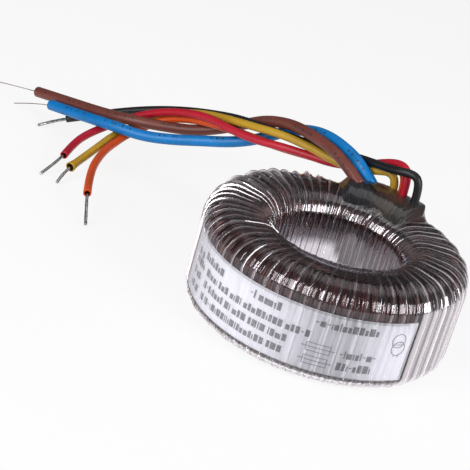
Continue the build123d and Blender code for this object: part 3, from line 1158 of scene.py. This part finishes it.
def revolve_along(
    line: np.ndarray, stations: np.ndarray, radii: np.ndarray, sides: int
) -> np.ndarray:
    """Rings of given radii at given distances along a line.

    Args:
        line: evenly spaced points of the line.
        stations: distance along the line of each ring, which may turn back.
        radii: radius of each ring.
        sides: points in a ring.

    Returns:
        Points as rings by sides.
    """
    gone = distance_along(line)
    tangent, across, beside = carried_frames(line)
    past = np.maximum(stations - gone[-1], 0)[:, None]
    centre = read_off(stations, gone, line) + past * tangent[-1]
    across, beside = (unit(read_off(stations, gone, way)) for way in (across, beside))
    return ring_of_points(centre, radii, across, beside, sides)


@dataclass
class Lead:
    """One lead: its sleeve along its route, and the bare wire that comes out of its end.

    Its route and its tip are in millimetres.
    """

    colour: str
    role: Role
    paint: Colour
    tip: Place
    route: list[Place]
    flare: float = 0.0
    sides: int = 20
    wire_sides: int = 12
    ring_gap: float = 1.1 * MM
    lip: float = 0.12 * MM
    lip_depth: float = 0.15 * MM
    straight: float = 4 * MM
    flare_length: float = 5 * MM

    def build_wire(self, materials: dict[Role, bpy.types.Material]) -> bpy.types.Object:
        """A rod from inside the sleeve's mouth to the tip, with a rounded end.

        Args:
            materials: the bare metal by the lead's role.

        Returns:
            The wire.
        """
        size = SLEEVES[self.role]
        points = np.array(self.route) * MM
        end, direction = points[-1], unit(points[-1] - points[-2])
        tip = np.array(self.tip) * MM
        path = [end - direction * size.mouth, end + direction * self.straight, tip]
        line = spline_points(self.colour + "_wire_line", np.array(path), 16)
        total = distance_along(line)[-1]
        r = size.wire / 2
        body = np.linspace(0, total - r, 40)
        lumps = np.ones_like(body)
        if self.role is Role.SECONDARY:
            lumps = 1 + 0.07 * smooth_noise(body / (5 * MM), 31 + len(self.colour), 2)
        angle = np.linspace(0.15, 0.5, 6) * math.pi
        stations = np.concatenate([[0.0], body, total - r + r * np.sin(angle)])
        tip_radii = np.maximum(r * np.cos(angle), 0) * lumps[-1]
        radii = np.concatenate([[0.0], r * lumps * 0.96, tip_radii])
        rings = revolve_along(line, stations, radii, self.wire_sides)
        faces = grid_faces(len(stations), self.wire_sides, False, True)
        piece = make_piece(f"{self.colour}_bare_wire", rings, faces, materials[self.role])
        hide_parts(f"{self.colour}_wire_end")
        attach(piece, BODY)
        return piece

    def build(self, materials: dict[Role, bpy.types.Material]) -> bpy.types.Object:
        """A tube to the cut end and back inside its mouth, with a slightly rounded lip.

        Args:
            materials: the bare metal by the lead's role.

        Returns:
            The sleeve.
        """
        size = SLEEVES[self.role]
        line = spline_points(self.colour + "_line", np.array(self.route) * MM)
        total = distance_along(line)[-1]
        r, b = size.outside / 2, size.bore / 2
        outer = np.linspace(0, total - self.lip_depth, int(total / self.ring_gap))
        inner = np.linspace(total - 0.1 * MM, total - size.mouth, 6)
        flare = self.flare * rise(outer - total, -self.flare_length, self.flare_length) ** 2
        stations = np.concatenate([[0.0], outer, [total, total], inner, [inner[-1]]])
        narrowing = b + self.flare * np.linspace(1, 0, len(inner))
        edge = [r + self.flare - self.lip, b + self.flare]
        radii = np.concatenate([[0.0], r + flare, edge, narrowing, [0.0]])
        rings = revolve_along(line, stations, radii, self.sides)
        inside = np.repeat(np.arange(len(stations)) >= len(outer) + 3, self.sides)
        around = np.linspace(0, 1, self.sides, endpoint=False)
        around = np.minimum(around, 1 - around) * 2
        uv = stacked(around[None, :], stations[:, None])
        faces = grid_faces(len(stations), self.sides, False, True)
        finish = SleeveFinish("sleeve_" + self.colour, self.paint, self.role is Role.PRIMARY)
        name = f"{self.colour}_lead_sleeve"
        piece = make_piece(name, rings, faces, finish.material, uv=uv, inside=inside)
        wire = self.build_wire(materials)
        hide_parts(f"{self.colour}_sleeve")
        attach(piece, BODY)
        tuple(np.array(self.route[0]) * MM)
        return piece


LEADS = [
    Lead("brown", Role.PRIMARY, (0.171, 0.045, 0.032, 1.0), (-155.0, 109.5, 5.6), [
        (1.2, 37.6, 40.0), (-3.8, 41.5, 42.6), (-10.6, 47.4, 45.2), (-19.0, 55.0, 45.5),
        (-29.6, 64.4, 44.2), (-39.7, 74.5, 39.0), (-47.8, 80.8, 32.5), (-56.3, 82.9, 26.7),
        (-66.3, 82.6, 22.5), (-77.9, 83.0, 20.1), (-90.7, 83.0, 18.4), (-104.3, 88.2, 15.4),
        (-119.8, 98.0, 11.5), (-135.9, 109.2, 7.0),
    ]),
    Lead("blue", Role.PRIMARY, (0.0, 0.195, 0.560, 1.0), (-141.5, 95.5, 4.6), [
        (5.4, 41.6, 40.0), (0.1, 42.7, 44.9), (-6.0, 49.3, 46.5), (-15.7, 58.4, 46.7),
        (-24.6, 66.4, 43.2), (-32.8, 71.5, 37.3), (-41.4, 73.1, 30.7), (-50.9, 74.0, 25.9),
        (-62.0, 74.9, 22.4), (-73.5, 75.6, 18.7), (-85.4, 76.6, 15.9), (-98.5, 79.7, 15.0),
        (-112.5, 87.7, 11.8), (-127.3, 98.4, 7.7),
    ]),
    Lead("black", Role.SECONDARY, (0.01, 0.01, 0.012, 1.0), (-129.1, 90.7, 0.7), [
        (21.7, 33.6, 40.6), (21.7, 33.6, 47.6), (19.2, 34.2, 51.7), (11.0, 36.8, 49.6),
        (0.5, 48.5, 45.6), (-8.8, 56.8, 42.2), (-18.3, 62.0, 39.9), (-28.8, 64.9, 38.8),
        (-39.5, 69.4, 37.5), (-50.0, 77.3, 35.0), (-61.2, 85.6, 30.5), (-73.6, 92.7, 25.4),
        (-86.8, 96.1, 20.1), (-99.7, 97.9, 14.1), (-109.9, 98.0, 8.9), (-119.5, 96.9, 4.6),
    ]),
    Lead("red", Role.SECONDARY, (0.485, 0.007, 0.026, 1.0), (-115.3, 46.5, 0.7), [
        (17.0, 37.4, 40.0), (17.0, 37.4, 47.6), (15.0, 39.8, 51.3), (9.3, 46.0, 48.9),
        (-1.6, 53.2, 40.6), (-10.8, 55.5, 37.5), (-20.6, 57.7, 36.9), (-31.1, 60.3, 35.9),
        (-41.0, 64.2, 33.6), (-51.5, 69.5, 32.4), (-62.8, 76.7, 32.0), (-75.0, 83.3, 27.7),
        (-86.3, 88.4, 21.4), (-95.0, 89.7, 15.1), (-102.5, 86.1, 10.4), (-107.7, 78.7, 7.7),
        (-109.8, 69.6, 6.4), (-110.6, 60.2, 5.0),
    ]),
    Lead("yellow", Role.SECONDARY, (0.515, 0.305, 0.021, 1.0), (-107.8, 43.3, 0.7), [
        (13.2, 42.2, 40.0), (13.2, 42.2, 43.6), (10.3, 43.4, 46.2), (5.0, 45.9, 43.8),
        (-1.6, 48.9, 41.0), (-10.9, 52.4, 39.9), (-21.5, 57.4, 40.4), (-32.5, 62.4, 39.8),
        (-43.4, 67.7, 37.3), (-54.7, 76.8, 33.6), (-66.7, 85.1, 29.2), (-77.9, 90.7, 23.3),
        (-85.9, 91.0, 17.5), (-92.4, 87.1, 12.8), (-97.3, 80.1, 10.4), (-100.0, 69.6, 8.6),
        (-105.8, 52.6, 4.5),
    ], flare=0.5 * MM),
    Lead("orange", Role.SECONDARY, (0.68, 0.08, 0.007, 1.0), (-89.0, 15.9, 0.7), [
        (16.5, 41.0, 40.0), (16.5, 41.0, 44.6), (14.6, 44.0, 47.9), (9.5, 50.7, 45.0),
        (-1.4, 56.6, 39.0), (-12.9, 59.5, 36.4), (-23.4, 61.5, 35.1), (-33.7, 64.8, 33.6),
        (-44.3, 69.7, 32.3), (-55.2, 75.4, 30.3), (-66.7, 81.9, 27.4), (-77.9, 87.4, 22.3),
        (-85.3, 87.0, 16.9), (-91.7, 82.6, 12.5), (-95.4, 75.0, 9.6), (-97.1, 64.2, 9.2),
        (-97.2, 47.0, 8.0), (-93.1, 27.6, 7.7),
    ]),
]


# ---------------------------------------------------------------- studio


@dataclass
class Studio:
    """Pale table, soft lights and the camera."""

    world: float = 0.13
    table_half: float = 6.0
    aim: Place = (0.0, 0.0, 0.02)
    softboxes: tuple[tuple[str, Place, tuple[float, float], float], ...] = (
        ("softbox_left", (-0.45, -0.57, 0.36), (0.50, 0.52), 5.6),
        ("softbox_right", (0.64, -0.37, 0.34), (0.46, 0.50), 5.7),
        ("softbox_top", (0.0, 0.17, 0.70), (0.90, 0.50), 1.1),
    )
    camera_place: Place = (0.0, -0.57781, 0.28476)
    camera_right: Place = (0.94967, 0.17514, 0.25973)
    camera_up: Place = (-0.30842, 0.37748, 0.87315)
    lens: float = 139.56
    sensor: float = 36.0
    clip: tuple[float, float] = (0.01, 50.0)

    def floor(self) -> None:
        """Lay the table."""
        signs = np.array([[-1, -1, 0], [1, -1, 0], [1, 1, 0], [-1, 1, 0]])
        corners, faces = signs * self.table_half, np.array([[0, 1, 2, 3]])
        table = make_piece("table", corners, faces, TableFinish().material, False)

    def light(self, name: str, place: Place, size: tuple[float, float], watts: float) -> None:
        """Add a soft panel light that faces the ring.

        Args:
            name: the light's name.
            place: where it stands.
            size: its width and height.
            watts: its power.
        """
        lamp = bpy.data.lights.new(name, "AREA")
        lamp.shape = "RECTANGLE"
        lamp.size, lamp.size_y = size
        lamp.energy = watts
        holder = bpy.data.objects.new(name, lamp)
        holder.location = place
        aim_way = Vector(self.aim) - Vector(place)
        holder.rotation_euler = aim_way.to_track_quat("-Z", "Y").to_euler()
        bpy.context.scene.collection.objects.link(holder)

    def camera(self) -> None:
        """Make the camera and point it."""
        data = bpy.data.cameras.new("camera")
        data.lens = self.lens
        data.sensor_width = self.sensor
        data.clip_start, data.clip_end = self.clip
        holder = bpy.data.objects.new("camera", data)
        right, up = Vector(self.camera_right), Vector(self.camera_up)
        turn = Matrix((right, up, right.cross(up))).transposed().to_4x4()
        holder.matrix_world = Matrix.Translation(self.camera_place) @ turn
        bpy.context.scene.collection.objects.link(holder)
        bpy.context.scene.camera = holder

    def build(self) -> None:
        """Set up the world, table, lights, camera and view."""
        scene = bpy.context.scene
        world = bpy.data.worlds.new("studio")
        scene.world = world
        world.use_nodes = True
        backdrop = world.node_tree.nodes["Background"]
        backdrop.inputs["Color"].default_value = (1, 1, 1, 1)
        backdrop.inputs["Strength"].default_value = self.world
        self.floor()
        for softbox in self.softboxes:
            self.light(*softbox)
        self.camera()
        scene.view_settings.view_transform = "Standard"


# ---------------------------------------------------------------- assembly


def dress_hidden_nodes(frame: dict[str, Any]) -> None:
    """Give each carried-over node its finish.
    """
    finishes = {
        "core": CoreFinish(),
        "core_insulation": TapeFinish(),
        "primary_winding": LayerFinish("primary_layer"),
        "interlayer_insulation": LayerFinish("interlayer_tape"),
        "rating_label": LabelFinish(),
    }
    for node, finish in finishes.items():
        piece = frame["nodes"][node]
        if not piece.material_slots:
            piece.data.materials.append(finish.material)
        for slot in piece.material_slots:
            slot.material = finish.material
        log.info("dressed %s", node)


def main() -> None:
    """Load the frame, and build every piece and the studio."""
    logging.basicConfig(level=logging.INFO, format="%(name)s: %(message)s")
    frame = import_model()
    Studio().build()
    light, dark = (0.30, 0.24, 0.22, 1.0), (0.16, 0.12, 0.11, 1.0)
    metals = {
        Role.SECONDARY: TinnedFinish().material,
        Role.PRIMARY: EnamelFinish("enamelled_copper", light, dark).material,
    }
    for lead in LEADS:
        log.info("made %s", lead.build(metals).name)
    enamel = EnamelFinish("secondary_enamel").material
    start = PATCH_START + PATCH_SWEEP / 2
    half_pitch = 180.0 / SecondaryStrands.turns
    pieces = [
        SecondaryStrands("strands_a", "secondary_winding_a", start).build(enamel),
        SecondaryStrands("strands_b", "secondary_winding_b", start + half_pitch).build(enamel),
        ExitPatch().build(),
        LabelPrint().build(),
        FilmWrap().build(),
    ]
    for piece in pieces:
        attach(piece, BODY)
        log.info("made %s with %d faces", piece.name, len(piece.data.polygons))
    dress_hidden_nodes(frame)


if __name__ == "__main__":
    main()
